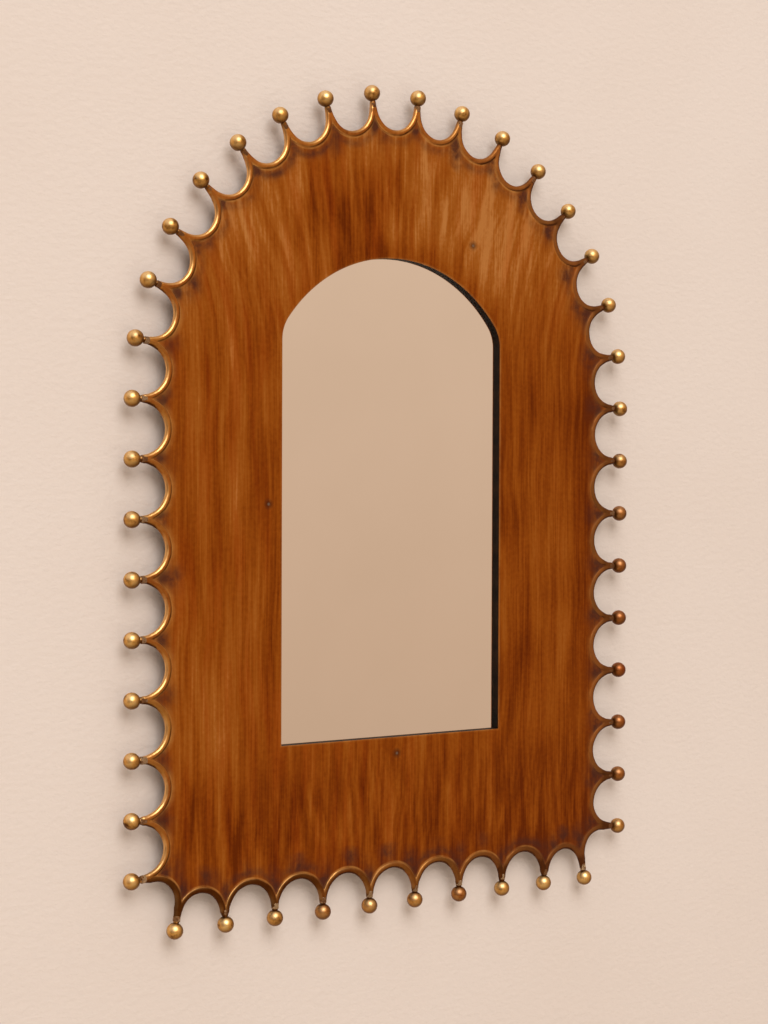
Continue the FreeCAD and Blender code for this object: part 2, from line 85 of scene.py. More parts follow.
def add_node(tree, kind, links=None, stops=(), **settings):
    """Adds a node with its settings, its inputs' values or links, and a ramp's stops."""
    node = tree.nodes.new("ShaderNode" + kind)
    for name, value in settings.items():
        setattr(node, name, value)
    for name, value in (links or {}).items():
        if isinstance(value, bpy.types.NodeSocket):
            tree.links.new(value, node.inputs[name])
        else:
            node.inputs[name].default_value = value
    for i, (position, code) in enumerate(stops):
        stop = node.color_ramp.elements[i] if i < 2 else node.color_ramp.elements.new(position)
        stop.position = position
        stop.color = linear(code)
    return node


def new_finish(name, **values):
    """Makes a material and gives it, its nodes, its shader and a place on the object."""
    material = bpy.data.materials.new(name)
    material.use_nodes = True
    tree = material.node_tree
    shader = tree.nodes["Principled BSDF"]
    for socket, value in values.items():
        shader.inputs[socket.replace("_", " ")].default_value = value
    return material, tree, shader, add_node(tree, "TexCoord").outputs["Object"]


def give(shader, **sockets):
    """Links a colour, a roughness or a bump to a shader."""
    for name, socket in sockets.items():
        shader.id_data.links.new(socket, shader.inputs[name.replace("_", " ")])


def finish_with(piece, material):
    """Gives a piece its one material."""
    piece.data.materials.clear()
    piece.data.materials.append(material)


bpy.ops.mesh.primitive_plane_add(size=WALL_SIZE, location=(0, 0, WALL_MIDDLE),
                                 rotation=(math.pi / 2, 0, 0))
wall = bpy.context.object
wall.name = "wall"
paint, tree, shader, place = new_finish("rolled_matt_wall_paint", Roughness=0.85)
mottle = add_node(tree, "TexNoise", {"Vector": place, "Scale": 3, "Detail": 2})
tone = add_node(tree, "ValToRGB", {"Fac": mottle.outputs["Fac"]},
                stops=((0.3, WALL_SHADE), (0.7, WALL_PAINT)))
rolled = add_node(tree, "Mapping", {"Vector": place, "Scale": (0.6, 1, 1)})
peel = add_node(tree, "TexNoise",
                {"Vector": rolled.outputs[0], "Scale": 1 / PEEL_GRAIN, "Detail": 2})
bump = add_node(tree, "Bump",
                {"Height": peel.outputs["Fac"], "Strength": 0.6, "Distance": PEEL_DEPTH})
give(shader, Base_Color=tone.outputs["Color"])
give(shader, Normal=bump.outputs["Normal"])
path = add_node(tree, "LightPath")
behind = add_node(tree, "Math",
                  {0: add_node(tree, "NewGeometry").outputs["Backfacing"],
                   1: path.outputs["Transparent Depth"]}, operation="MAXIMUM", use_clamp=True)
clear = add_node(tree, "BsdfTransparent")
sided = add_node(tree, "MixShader",
                 {"Fac": behind.outputs[0], 1: shader.outputs[0], 2: clear.outputs[0]})
tree.links.new(sided.outputs[0], tree.nodes["Material Output"].inputs["Surface"])
finish_with(wall, paint)

# Floor: plain pale screed well below the mirror, as under a mirror hung at eye level. A
# little light comes back up from it to the undersides of the rods and balls.
FLOOR_SIZE = 8
FLOOR_HEIGHT = -1.25
SCREED_SHADE = "#DCD5CC"
SCREED_PALE = "#E2DCD4"

bpy.ops.mesh.primitive_plane_add(size=FLOOR_SIZE, location=(0, -1.0, FLOOR_HEIGHT))
floor = bpy.context.object
floor.name = "floor"
screed, tree, shader, place = new_finish("pale_screed", Roughness=0.8)
mottle = add_node(tree, "TexNoise", {"Vector": place, "Scale": 5, "Detail": 4})
tone = add_node(tree, "ValToRGB", {"Fac": mottle.outputs["Fac"]},
                stops=((0.3, SCREED_SHADE), (0.7, SCREED_PALE)))
give(shader, Base_Color=tone.outputs["Color"])
finish_with(floor, screed)

# Light: a large far soft box high in front and a little to the left, and an even fill
# from the room. Metal and glass see a dim brown room with a lit beige wall to the right
# and a pale glow on the ceiling round the soft box.
KEY_DIRECTION = Vector((-0.22, -0.757, 0.613)).normalized()
KEY_DISTANCE = 9
KEY_SIZE = 5.6
KEY_POWER = 450
FILL = "#C4B7AA"
LIT_WALL_DIRECTION = (0.57, -0.82, -0.02)
LIT_WALL_EDGES = (0.55, 0.92)
GLOW_EDGES = (0.74, 0.95)
CEILING_GLOW = "#FFF4E4"
BEYOND_THE_WALL = "#E6DCD2"

key_turn = KEY_DIRECTION.to_track_quat("Z", "Y").to_euler()
bpy.ops.object.light_add(type="AREA", rotation=key_turn,
                         location=Vector((0, 0, 0.27)) + KEY_DIRECTION * KEY_DISTANCE)
key = bpy.context.object
key.name = "soft_box"
key.data.size = KEY_SIZE
key.data.energy = KEY_POWER

room = bpy.data.worlds.new("room")
room.use_nodes = True
bpy.context.scene.world = room
tree = room.node_tree
gaze = add_node(tree, "TexCoord").outputs["Generated"]
height = add_node(tree, "MapRange",
                  {"Value": add_node(tree, "SeparateXYZ",
                                     {"Vector": gaze}).outputs["Z"],
                   "From Min": -1, "From Max": 1})
dim = add_node(tree, "ValToRGB", {"Fac": height.outputs[0]},
               stops=((0.0, "#35241A"), (1.0, "#D6C4B2"), (0.42, "#5E4838"),
                      (0.55, "#8C725C"), (0.75, "#BCA48E")))
facing = add_node(tree, "VectorMath", {0: gaze, 1: LIT_WALL_DIRECTION},
                  operation="DOT_PRODUCT")
facing = add_node(tree, "MapRange",
                  {"Value": facing.outputs["Value"], "From Min": LIT_WALL_EDGES[0],
                   "From Max": LIT_WALL_EDGES[1]},
                  interpolation_type="SMOOTHSTEP")
lit = add_node(tree, "ValToRGB", {"Fac": height.outputs[0]},
               stops=((0.0, "#6A5340"), (1.0, "#E4D4C4"), (0.46, "#CFAD92"), (0.56, "#DCBCA2")))
seen = add_node(tree, "MixRGB", {"Fac": facing.outputs[0],
                                 "Color1": dim.outputs[0], "Color2": lit.outputs[0]})
glow = add_node(tree, "VectorMath", {0: gaze, 1: KEY_DIRECTION},
                operation="DOT_PRODUCT")
glow = add_node(tree, "MapRange",
                {"Value": glow.outputs["Value"], "From Min": GLOW_EDGES[0],
                 "From Max": GLOW_EDGES[1]},
                interpolation_type="SMOOTHSTEP")
seen = add_node(tree, "MixRGB", {"Fac": glow.outputs[0], "Color1": seen.outputs[0],
                                 "Color2": linear(CEILING_GLOW)})
path = add_node(tree, "LightPath")
seen = add_node(tree, "MixRGB", {"Fac": path.outputs["Is Glossy Ray"],
                                 "Color1": linear(FILL), "Color2": seen.outputs[0]})
seen = add_node(tree, "MixRGB", {"Fac": path.outputs["Is Camera Ray"],
                                 "Color1": seen.outputs[0], "Color2": linear(BEYOND_THE_WALL)})
tree.links.new(seen.outputs[0], tree.nodes["Background"].inputs["Color"])


# Face panel: iron sheet, brushed by hand with amber brown lacquer in long upright strokes.
# Along each rod the lacquer climbs in a soft fillet with a rubbed gold line, and dark wax
# lies in the webs between two scallops.
ARCH_RADIUS = 0.290
ARCH_HEIGHT = 0.372
COLUMN_FOOT = -0.080
FOOT_ROW = COLUMN_FOOT - 0.0503
FOOT_HALF = ARCH_RADIUS - 0.0452
COLUMN_BALLS = 10
ARCH_BALLS = 14
FOOT_BALLS = 10
SCALLOP_INSET = 0.0116
CORNER_INSET = 0.0028
NECK_WIDTH = 0.0088
ROD_RADIUS = 0.00275
ROD_PLANE = -0.0171
SHEET_BACK = -0.0173
SHEET_FRONT = -0.0185
FILLET_RADIUS = 0.005
FILLET_FOOT = 0.0052
FILLET_TOP = 0.0030
OPENING_HALF = 0.130
OPENING_FOOT = 0.033
HEAD_CENTRE = 0.3486
HEAD_RADIUS = 0.1534
SHOULDER_RADIUS = 0.036
ARC_STEPS = 26

upper_balls = COLUMN_BALLS + ARCH_BALLS + COLUMN_BALLS
column = ARCH_HEIGHT - COLUMN_FOOT
upper_length = 2 * column + math.pi * ARCH_RADIUS


def upper_place(distance):
    """Gives the place on the ball line, as x + height i, from the left foot round the arch."""
    if distance <= column:
        return complex(-ARCH_RADIUS, COLUMN_FOOT + distance)
    if distance >= upper_length - column:
        return complex(ARCH_RADIUS, COLUMN_FOOT + upper_length - distance)
    turn = math.pi - (distance - column) / ARCH_RADIUS
    return complex(ARCH_RADIUS * math.cos(turn), ARCH_HEIGHT + ARCH_RADIUS * math.sin(turn))


ball_places = [upper_place(upper_length * i / (upper_balls - 1)) for i in range(upper_balls)]
ball_places += [complex(FOOT_HALF - 2 * FOOT_HALF * i / (FOOT_BALLS - 1), FOOT_ROW)
                for i in range(FOOT_BALLS)]
ball_count = len(ball_places)
scallops = []
for k in range(ball_count):
    ball, following = ball_places[k], ball_places[(k + 1) % ball_count]
    step = (following - ball) / abs(following - ball)
    inset = CORNER_INSET if k in (upper_balls - 1, ball_count - 1) else SCALLOP_INSET
    scallops.append((ball + following) / 2 - 1j * step * inset)
spans = [abs(scallops[(k + 1) % ball_count] - scallops[k]) for k in range(ball_count)]
rod_bends = [(min(spans[k - 1], spans[k]) - NECK_WIDTH) / 2 + ROD_RADIUS
             for k in range(ball_count)]
necks = []
for k in range(ball_count):
    here, there = scallops[k], scallops[(k + 1) % ball_count]
    toward = (there - here) / spans[k]
    middle = (here + toward * rod_bends[k] + there - toward * rod_bends[(k + 1) % ball_count]) / 2
    necks.append((middle, -1j * toward))


def web_ends(k, offset):
    """Gives where the arcs at an offset from rod k and the next rod meet, or both their ends."""
    here, there = scallops[k], scallops[(k + 1) % ball_count]
    reach, next_reach = rod_bends[k] + offset, rod_bends[(k + 1) % ball_count] + offset
    toward = (there - here) / spans[k]
    if spans[k] >= reach + next_reach:
        return here + toward * reach, there - toward * next_reach
    along = (reach ** 2 - next_reach ** 2 + spans[k] ** 2) / (2 * spans[k])
    tip = here + toward * (along - 1j * math.sqrt(reach ** 2 - along ** 2))
    return tip, tip


def scallop_line(offset):
    """Gives a closed line of places that follows all the rods at an offset from them."""
    places = []
    webs = [web_ends(k, offset) for k in range(ball_count)]
    for k in range(ball_count):
        start = webs[k - 1][1] - scallops[k]
        end = webs[k][0] - scallops[k]
        first = math.atan2(start.imag, start.real)
        sweep = (math.atan2(end.imag, end.real) - first) % (2 * math.pi)
        for i in range(ARC_STEPS + 1):
            turn = first + sweep * i / ARC_STEPS
            places.append(scallops[k] + abs(start) * complex(math.cos(turn), math.sin(turn)))
    return places


def opening_line(grow):
    """Gives the opening's outline, grown outwards, as a closed line of places."""
    half = OPENING_HALF + grow
    across = OPENING_HALF - SHOULDER_RADIUS
    rise = math.sqrt((HEAD_RADIUS - SHOULDER_RADIUS) ** 2 - across ** 2)
    spring = math.atan2(rise, across)
    places = [complex(-half, OPENING_FOOT - grow), complex(half, OPENING_FOOT - grow)]
    for middle, radius, first, last, steps in (
            (complex(across, rise), SHOULDER_RADIUS, 0, spring, 12),
            (0, HEAD_RADIUS, spring, math.pi - spring, 56),
            (complex(-across, rise), SHOULDER_RADIUS, math.pi - spring, math.pi, 12)):
        for i in range(steps):
            turn = first + (last - first) * (i + 0.5) / steps
            places.append(1j * HEAD_CENTRE + middle
                          + (radius + grow) * complex(math.cos(turn), math.sin(turn)))
    return places


RIGHT_COLUMN = 0.24
WAX_LINE = 0.0088
WAX_LINE_WIDTH = 0.0046
GOLD_LINE = 0.0037
GOLD_LINE_WIDTH = 0.0014

# Each spot of wax has a place, a size and a strength: one in each web, wider in the right
# column, one smeared off towards the opening, and one over most of the foot's scallops.
chance = random.Random(4)
wax_spots = []
for middle, inward in necks:
    in_right = middle.real > RIGHT_COLUMN
    reach = chance.uniform(0.0155, 0.0195) + (0.001 if in_right else 0)
    aside = chance.uniform(-0.002, 0.002)
    size = chance.uniform(0.0065, 0.0090) * (1.4 if in_right else 1)
    wax_spots.append((middle + inward * (reach + 1j * aside), size, chance.uniform(0.95, 1.3)))
    reach = chance.uniform(0.020, 0.030)
    aside = chance.uniform(-0.014, 0.014)
    size = chance.uniform(0.005, 0.010)
    wax_spots.append((middle + inward * (reach + 1j * aside), size, chance.uniform(0.2, 1.0)))
wax_lines = [chance.uniform(-0.15, 0.8) for _ in scallops]
smears = random.Random(9)
for k in range(upper_balls, ball_count - 1):
    reach = rod_bends[k] + smears.uniform(0.010, 0.018)
    aside = smears.uniform(-0.008, 0.008)
    size = smears.uniform(0.006, 0.011)
    wax_spots.append((scallops[k] + aside + 1j * reach, size, smears.uniform(0.0, 1.2)))


def ease(value, start, end):
    """Gives how far a value has gone from a start to an end, eased at both."""
    share = min(1.0, max(0.0, (value - start) / (end - start)))
    return share * share * (3 - 2 * share)


def rod_at(spot):
    """Gives the rod that runs nearest to a place, and how far inside its centre line that is."""
    k = min(range(ball_count), key=lambda k: abs(abs(spot - scallops[k]) - rod_bends[k]))
    return k, abs(spot - scallops[k]) - rod_bends[k]


def wear_at(place, offset):
    """Gives the dark wax and the rubbed gold that show at a place beside the rods."""
    wax = max(strength * math.exp(-((place - middle).real / width) ** 2
                                  - (0.7 * (place - middle).imag / width) ** 2)
              for middle, width, strength in wax_spots)
    waxed_row = max(ease(place.imag, 0.42, 0.52), ease(place.imag, -0.04, -0.08))
    line = max(0.0, wax_lines[rod_at(place)[0]]) * waxed_row
    wax = min(1.0, max(wax, line * math.exp(-((offset - WAX_LINE) / WAX_LINE_WIDTH) ** 2)))
    rub = max(ease(abs(offset - GOLD_LINE), GOLD_LINE_WIDTH, 0.0),
              0.45 * (1 - waxed_row) * ease(offset, 0.0095, 0.0040))
    rub *= 1 - 0.65 * ease(place.real, 0.10, 0.22)
    return wax, rub * (1 - 0.85 * wax)


border = [(0.0016, SHEET_FRONT + 0.0003)]
for i in range(6):
    offset = FILLET_TOP + (FILLET_FOOT - FILLET_TOP) * i / 5
    rise = FILLET_RADIUS - math.sqrt(FILLET_RADIUS ** 2 - (FILLET_FOOT - offset) ** 2)
    border.append((offset, SHEET_FRONT - rise))
border += [(offset, SHEET_FRONT)
           for offset in (0.0060, 0.0070, 0.0083, 0.0100, 0.0120, 0.0145, 0.0175, 0.021, 0.025)]

bm = bmesh.new()
wear = bm.verts.layers.float_color.new("wear")


def add_ring(places, depth, edge=0.0, offset=None):
    """Adds a closed line of vertices with the wear that the finish shows there."""
    ring = []
    for place in places:
        vertex = bm.verts.new((place.real, depth, place.imag))
        wax, rub = wear_at(place, offset) if offset else (0.0, 0.0)
        vertex[wear] = (wax, rub, edge, 1)
        ring.append(vertex)
    return ring


def join_rings(rings):
    """Fills the faces between each ring of vertices and the next."""
    for one, two in zip(rings, rings[1:]):
        for i in range(len(one)):
            j = (i + 1) % len(one)
            bm.faces.new((one[i], one[j], two[j], two[i]))


def finished_object(name):
    """Makes an object of the mesh, its faces outwards and smooth between sharp edges."""
    bmesh.ops.recalc_face_normals(bm, faces=bm.faces)
    mesh = bpy.data.meshes.new(name)
    bm.to_mesh(mesh)
    bm.free()
    piece = bpy.data.objects.new(name, mesh)
    bpy.context.collection.objects.link(piece)
    bpy.ops.object.select_all(action="DESELECT")
    piece.select_set(True)
    bpy.context.view_layer.objects.active = piece
    bpy.ops.object.shade_smooth_by_angle(angle=math.radians(35))
    return piece


rings = [add_ring(scallop_line(0.0028), SHEET_BACK)]
for offset, depth in border:
    rings.append(add_ring(scallop_line(offset), depth, 0.0,
                          offset if offset < border[-1][0] else None))
lips = [add_ring(opening_line(0.0140), SHEET_FRONT), add_ring(opening_line(0.0022), SHEET_FRONT),
        add_ring(opening_line(0.0009), SHEET_FRONT, 0.3),
        add_ring(opening_line(0.0004), SHEET_FRONT + 0.00006, 1.0),
        add_ring(opening_line(0.0), SHEET_FRONT + 0.0003, 0.8),
        add_ring(opening_line(0.0), SHEET_BACK)]
for strip in (rings, lips):
    join_rings(strip)
bmesh.ops.remove_doubles(bm, verts=bm.verts, dist=1e-6)
for depth in (SHEET_FRONT, SHEET_BACK):
    rims = [edge for edge in bm.edges
            if edge.is_boundary and abs(edge.verts[0].co.y - depth) < 1e-7]
    bmesh.ops.triangle_fill(bm, edges=rims, use_beauty=True)
face_panel = finished_object("face_panel")

LACQUER_DARK = "#662800"
LACQUER_RED = "#823C04"
LACQUER_AMBER = "#944C0C"
LACQUER_HONEY = "#A25C1C"
LACQUER_TAN = "#B8783C"
LACQUER_REDDISH = "#F6D2A0"
WAX = "#4A281E"
PRIMER = "#3A2A22"
GILT = "#C08A48"
WELD_SCORCH = "#3A1E12"
WELD_METAL = "#7A6A5A"
STROKE_WIDTH = 0.006
STROKE_LENGTH = 0.15
# Paler and darker patches painted into the lacquer's tone: x, height, half width, half height and
# tone.
SHADES = ((-0.055, 0.552, 0.100, 0.088, -0.52), (0.092, 0.570, 0.105, 0.085, 0.20),
          (-0.148, 0.240, 0.030, 0.380, -0.24), (0.205, 0.120, 0.030, 0.260, 0.20),
          (0.242, 0.200, 0.026, 0.360, -0.22))
# Spot welds that show through it: x and height.
WELDS = ((-0.145, 0.263), (0.004, 0.017), (0.095, 0.520))

lacquer, tree, shader, place = new_finish("brushed_amber_lacquer", Metallic=0.3,
                                          Specular_IOR_Level=0.06)
axes = add_node(tree, "SeparateXYZ", {"Vector": place})
zones = []
for start, end in ((0.36, 0.56), (0.56, 0.36), (0.05, -0.03)):
    zones.append(add_node(tree, "MapRange",
                          {"Value": axes.outputs["Z"], "From Min": start, "From Max": end},
                          interpolation_type="SMOOTHSTEP").outputs[0])
crown, below_crown, foot = zones
right_side = add_node(tree, "MapRange",
                      {"Value": axes.outputs["X"], "From Min": -0.10, "From Max": 0.18,
                       "To Max": below_crown}, interpolation_type="SMOOTHSTEP").outputs[0]
fan = add_node(tree, "MapRange",
               {"Value": axes.outputs["Z"], "From Min": 0.38, "From Max": 0.75,
                "To Min": 1.0, "To Max": 1.5}, interpolation_type="SMOOTHSTEP")
across = add_node(tree, "Math", {0: axes.outputs["X"], 1: fan.outputs[0]},
                  operation="DIVIDE")
wander = add_node(tree, "MapRange",
                  {"Value": add_node(tree, "TexNoise",
                                     {"Vector": place, "Scale": 9, "Detail": 1}).outputs["Fac"],
                   "To Min": -0.5, "To Max": 0.5})
leans = []
for amount in (0.020, -0.036):
    leaning = add_node(tree, "Math",
                       {0: wander.outputs[0], 1: amount, 2: across.outputs[0]},
                       operation="MULTIPLY_ADD")
    leans.append(add_node(tree, "CombineXYZ",
                          {"X": leaning.outputs[0], "Z": axes.outputs["Z"]}).outputs[0])
fanned, crossed = leans


def strokes(where, width, length, detail):
    """Gives brush strokes as a pattern of streaks of one width and length."""
    stretched = add_node(tree, "Mapping",
                         {"Vector": where, "Scale": (1 / width, 1, 1 / length)})
    return add_node(tree, "TexNoise",
                    {"Vector": stretched.outputs[0], "Scale": 1, "Detail": detail,
                     "Roughness": 0.55, "Distortion": 0.1}).outputs["Fac"]


dabbed = add_node(tree, "Math", {0: crown, 1: foot}, operation="ADD")
short_strokes = add_node(tree, "Math",
                         {0: strokes(crossed, STROKE_WIDTH * 2, STROKE_LENGTH * 0.6, 3), 1: 0.5},
                         operation="SUBTRACT")
short_strokes = add_node(tree, "Math",
                         {0: short_strokes.outputs[0], 1: dabbed.outputs[0]},
                         operation="MULTIPLY").outputs[0]
patches = add_node(tree, "TexNoise",
                   {"Vector": place, "Scale": 13, "Detail": 2}).outputs["Fac"]
specks = add_node(tree, "TexNoise",
                  {"Vector": place, "Scale": 260, "Detail": 2}).outputs["Fac"]
above_head = add_node(tree, "VectorMath",
                      {0: place, 1: (0, SHEET_FRONT, HEAD_CENTRE)}, operation="DISTANCE")
above_head = add_node(tree, "MapRange",
                      {"Value": above_head.outputs["Value"], "From Min": HEAD_RADIUS + 0.030,
                       "From Max": HEAD_RADIUS}, interpolation_type="SMOOTHSTEP").outputs[0]
above_head = add_node(tree, "Math", {0: above_head, 1: crown}, operation="MULTIPLY")
tone = -0.90
for x, z, half_width, half_height, amount in SHADES:
    away = add_node(tree, "VectorMath", {0: place, 1: (x, SHEET_FRONT, z)},
                    operation="SUBTRACT")
    away = add_node(tree, "VectorMath",
                    {0: away.outputs[0], 1: (1 / half_width, 0, 1 / half_height)},
                    operation="MULTIPLY")
    away = add_node(tree, "VectorMath", {0: away.outputs[0]}, operation="LENGTH")
    away = add_node(tree, "MapRange", {"Value": away.outputs["Value"], "From Min": 1,
                                       "From Max": 0, "To Max": amount},
                    interpolation_type="SMOOTHSTEP")
    tone = add_node(tree, "Math", {0: away.outputs[0], 1: tone},
                    operation="ADD").outputs[0]
# Tone: a painted sheen of the soft box lightens the crown and painted shade darkens the right side.
# The foot and the band over the opening's head are made darker, and strokes, patches and specks
# vary it.
for part, weight in ((crown, 0.20), (foot, -0.20), (right_side, -0.18),
                     (above_head.outputs[0], -0.30), (short_strokes, 1.5),
                     (strokes(fanned, STROKE_WIDTH * 3.5, STROKE_LENGTH, 1), 0.75),
                     (strokes(fanned, STROKE_WIDTH, STROKE_LENGTH, 2), 0.75),
                     (strokes(place, STROKE_WIDTH * 0.35, STROKE_LENGTH * 0.5, 1), 0.55),
                     (patches, 0.50), (specks, 0.30)):
    tone = add_node(tree, "Math", {0: part, 1: weight, 2: tone},
                    operation="MULTIPLY_ADD").outputs[0]
colour = add_node(tree, "ValToRGB", {"Fac": tone},
                  stops=((0.0, LACQUER_DARK), (1.0, LACQUER_TAN), (0.28, LACQUER_RED),
                         (0.50, LACQUER_AMBER), (0.74, LACQUER_HONEY))).outputs["Color"]
reddish = add_node(tree, "MapRange",
                   {"Value": strokes(fanned, STROKE_WIDTH * 2.4, STROKE_LENGTH * 0.8, 2),
                    "From Min": 0.46, "From Max": 0.66,
                    "To Max": add_node(tree, "MapRange",
                                       {"Value": right_side, "To Min": 0.55,
                                        "To Max": 0.12}).outputs[0]})
colour = add_node(tree, "MixRGB",
                  {"Fac": reddish.outputs[0], "Color1": colour,
                   "Color2": linear(LACQUER_REDDISH)}, blend_type="MULTIPLY").outputs["Color"]
worn = add_node(tree, "Attribute", attribute_name="wear")
worn = add_node(tree, "SeparateColor", {"Color": worn.outputs["Color"]})
ragged = add_node(tree, "TexNoise",
                  {"Vector": place, "Scale": 85, "Detail": 4, "Roughness": 0.6}).outputs["Fac"]
ragged = add_node(tree, "MapRange",
                  {"Value": ragged, "From Min": 0.35, "From Max": 0.62,
                   "To Min": 0.45, "To Max": 1.25}).outputs[0]
for channel, code, most in (("Red", WAX, 0.90), ("Green", GILT, 0.6), ("Blue", GILT, 0.35)):
    amount = add_node(tree, "Math", {0: worn.outputs[channel], 1: ragged},
                      operation="MULTIPLY", use_clamp=True)
    amount = add_node(tree, "Math", {0: amount.outputs[0], 1: most},
                      operation="MULTIPLY")
    colour = add_node(tree, "MixRGB",
                      {"Fac": amount.outputs[0], "Color1": colour,
                       "Color2": linear(code)}).outputs["Color"]
weld = 1.0
for x, z in WELDS:
    reach = add_node(tree, "VectorMath", {0: place, 1: (x, SHEET_FRONT, z)},
                     operation="DISTANCE")
    weld = add_node(tree, "Math", {0: reach.outputs["Value"], 1: weld},
                    operation="MINIMUM").outputs[0]
halo = add_node(tree, "MapRange", {"Value": weld, "From Min": 0.0060,
                                   "From Max": 0.0015, "To Max": 0.7})
bare = add_node(tree, "MapRange", {"Value": weld, "From Min": 0.0018,
                                   "From Max": 0.0008, "To Max": 0.6})
back = add_node(tree, "SeparateXYZ",
                {"Vector": add_node(tree, "NewGeometry").outputs["Normal"]})
back = add_node(tree, "MapRange", {"Value": back.outputs["Y"], "From Min": 0.5,
                                   "From Max": 0.9, "To Max": 0.85})
for amount, code in ((halo, WELD_SCORCH), (bare, WELD_METAL), (back, PRIMER)):
    colour = add_node(tree, "MixRGB", {"Fac": amount.outputs[0], "Color1": colour,
                                       "Color2": linear(code)}).outputs["Color"]
give(shader, Base_Color=colour)
dull = add_node(tree, "MapRange", {"Value": tone, "To Min": 0.42, "To Max": 0.56})
give(shader, Roughness=dull.outputs[0])
wave = add_node(tree, "TexNoise", {"Vector": place, "Scale": 14, "Detail": 1})
bump = add_node(tree, "Bump",
                {"Height": wave.outputs["Fac"], "Strength": 0.4, "Distance": 0.002})
bump = add_node(tree, "Bump", {"Height": tone, "Strength": 0.25,
                               "Distance": 0.0004, "Normal": bump.outputs["Normal"]})
bump = add_node(tree, "Bump", {"Height": halo.outputs[0], "Strength": 0.5,
                               "Distance": 0.0006, "Normal": bump.outputs["Normal"]},
                invert=True)
give(shader, Normal=bump.outputs["Normal"])
finish_with(face_panel, lacquer)
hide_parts("face_sheet")
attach(face_panel, "frame")


# Rim: 44 brass rods bent to the scallops, each pair drawn together into a neck and brazed
# over. The brazing flows over the sheet and broadens each rod to a low bead with no seam,
# and hand filing leaves it a little uneven.
BRAZE_GRAIN = 0.00055
BEAD_BREADTH = 0.0042
BEAD_START = 0.010
BEAD_RISE = 0.006
NECK_DRAW = 0.14
DRAW_START = 0.006
DRAW_RISE = 0.004
DRAW_END = 0.021
DRAW_FALL = 0.008
BEAD_SHOULDER = 0.0034
SHOULDER_WIDTH = 0.0014
SHADED_DIRECTION = (0.72, 0.10, -0.68)


def copy_of(*names):
    """Joins copies of CAD nodes into one new mesh object and merges their corners."""
    bpy.ops.object.select_all(action="DESELECT")
    for name in names:
        copy = bpy.data.objects.new(name + "_copy", nodes[name].data.copy())
        bpy.context.collection.objects.link(copy)
        copy.select_set(True)
        bpy.context.view_layer.objects.active = copy
    if len(names) > 1:
        bpy.ops.object.join()
    bpy.ops.object.mode_set(mode="EDIT")
    bpy.ops.mesh.select_all(action="SELECT")
    bpy.ops.mesh.remove_doubles(threshold=1e-6)
    bpy.ops.object.mode_set(mode="OBJECT")
    return bpy.context.object


def apply_modifier(piece, kind, **settings):
    """Adds a modifier with its settings and applies it."""
    modifier = piece.modifiers.new("shaping", kind)
    for setting, value in settings.items():
        setattr(modifier, setting, value)
    bpy.context.view_layer.objects.active = piece
    bpy.ops.object.modifier_apply(modifier="shaping")


rim = copy_of("rim_rods", "ball_pins")
rim.name = "rim"
neck_lines = [(ball_places[(k + 1) % ball_count], necks[k]) for k in range(ball_count)]


def neck_at(spot):
    """Gives the ball and direction of the nearest neck, and how far along it a place is."""
    ball, (middle, inward) = min(neck_lines, key=lambda line: abs(line[1][0] - spot))
    inward = (middle - ball) / abs(middle - ball)
    return ball, inward, ((spot - ball) / inward).real


for vertex in rim.data.vertices:
    spot = complex(vertex.co.x, vertex.co.z)
    k, offset = rod_at(spot)
    ball, inward, along = neck_at(spot)
    spread = min(1, max(0, (along - BEAD_START) / BEAD_RISE))
    if offset > 0 and spread > 0:
        broad = offset * (1 + (BEAD_BREADTH / ROD_RADIUS - 1) * spread)
        spot = scallops[k] + (spot - scallops[k]) / abs(spot - scallops[k]) * (rod_bends[k] + broad)
    rise = (min(1, max(0, (along - DRAW_START) / DRAW_RISE))
            * min(1, max(0, (DRAW_END - along) / DRAW_FALL)))
    middle_line = ball + inward * along
    if abs(spot - middle_line) < 0.010:
        spot = middle_line + (spot - middle_line) * (1 - NECK_DRAW * rise * rise * (3 - 2 * rise))
    vertex.co.x, vertex.co.z = spot.real, spot.imag
apply_modifier(rim, "REMESH", mode="VOXEL", voxel_size=BRAZE_GRAIN, use_smooth_shade=True)
apply_modifier(rim, "SMOOTH", factor=0.5, iterations=7)
uneven = bpy.data.textures.new("uneven", "CLOUDS")
uneven.noise_scale = 0.012
apply_modifier(rim, "DISPLACE", texture=uneven, texture_coords="LOCAL",
               strength=0.0006, mid_level=0.5)
apply_modifier(rim, "DECIMATE", ratio=0.40)
shoulders, ends, hangs = [], [], []
for vertex in rim.data.vertices:
    spot = complex(vertex.co.x, vertex.co.z)
    k, offset = rod_at(spot)
    shoulders.append(max(0.0, 1 - abs(offset - BEAD_SHOULDER) / SHOULDER_WIDTH))
    # Painted shade for the upper half of each scallop on the left, where the rod's underside is
    # turned from the light.
    hangs.append(ease((spot - scallops[k]).imag / abs(spot - scallops[k]), 0.15, 0.85)
                 * ease(spot.real, 0.05, -0.15))
    along = neck_at(spot)[2]
    web = max(0, (0.0260 - along) / 0.010) if spot.real > 0.13 else 0
    ends.append(min(1.0, max(0.0, (0.0130 - along) / 0.005, min(0.45, web))))
for name, values in (("shoulder", shoulders), ("neck_end", ends), ("hanging", hangs)):
    rim.data.attributes.new(name, "FLOAT", "POINT").data.foreach_set("value", values)

